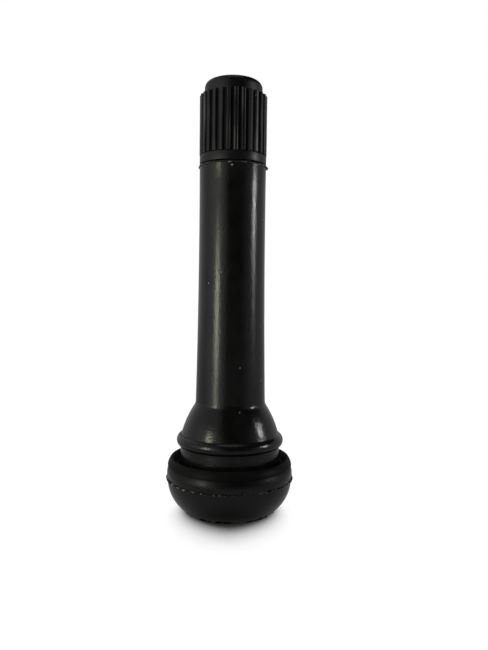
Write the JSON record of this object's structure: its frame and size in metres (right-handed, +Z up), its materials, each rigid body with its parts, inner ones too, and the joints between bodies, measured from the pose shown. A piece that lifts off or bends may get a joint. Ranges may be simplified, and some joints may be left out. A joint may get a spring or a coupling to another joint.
{
  "type": "tyre valve",
  "caption": "Long snap-in rubber tyre valve: domed base, rim groove, moulded-in brass stem, ribbed screw cap and a screwed-in core with a sprung pin.",
  "frame": {"origin": "centre of the flat foot, on the surface that the valve stands on", "axes": "+Z up the stem towards the cap; X and Y are free, because the valve is round"},
  "size_m": [0.0197, 0.0196, 0.0653],
  "materials": {
    "body_rubber": "satin moulded rubber",
    "stem_brass": "turned and threaded",
    "cap_plastic": "satin moulded plastic",
    "seal_rubber": "matt",
    "core_brass": "turned",
    "gasket_red": "matt",
    "spring_steel": "drawn wire"
  },
  "bodies": {
    "stem": {"rubber_body": "body_rubber", "brass_stem": "stem_brass"},
    "cap_washer": {"cap_seal": "seal_rubber"},
    "cap": {"valve_cap": "cap_plastic"},
    "core": {"core_barrel": "core_brass", "core_gasket": "gasket_red", "core_spring": "spring_steel"},
    "plug": {"core_plug": "core_brass"},
    "pin": {"core_pin": "core_brass", "core_cup": "core_brass", "core_washer": "seal_rubber"}
  },
  "joints": [
    {"name": "cap_lift", "type": "slide", "parent": "stem", "child": "cap_washer", "axis": [0, 0, 1], "range_m": [0, 0.00873]},
    {"name": "cap_turn", "type": "hinge", "parent": "cap_washer", "child": "cap", "pos_m": [0, 0, 0.058], "axis": [0, 0, 1], "range_deg": [0, 3960]},
    {"name": "core_lift", "type": "slide", "parent": "stem", "child": "core", "axis": [0, 0, 1], "range_m": [0, 0.00212]},
    {"name": "core_turn", "type": "hinge", "parent": "core", "child": "plug", "pos_m": [0, 0, 0.058], "axis": [0, 0, 1], "range_deg": [0, 1080]},
    {"name": "pin_press", "type": "slide", "parent": "core", "child": "pin", "axis": [0, 0, -1], "range_m": [0, 0.0011], "stiffness_N_per_m": 400, "springref_m": -0.002, "deforming": ["core_spring"]}
  ],
  "couplings": [
    {"joint": "cap_turn", "follows": "cap_lift", "rad_per_m": 7915.8},
    {"joint": "core_turn", "follows": "core_lift", "rad_per_m": 8905.3}
  ]
}
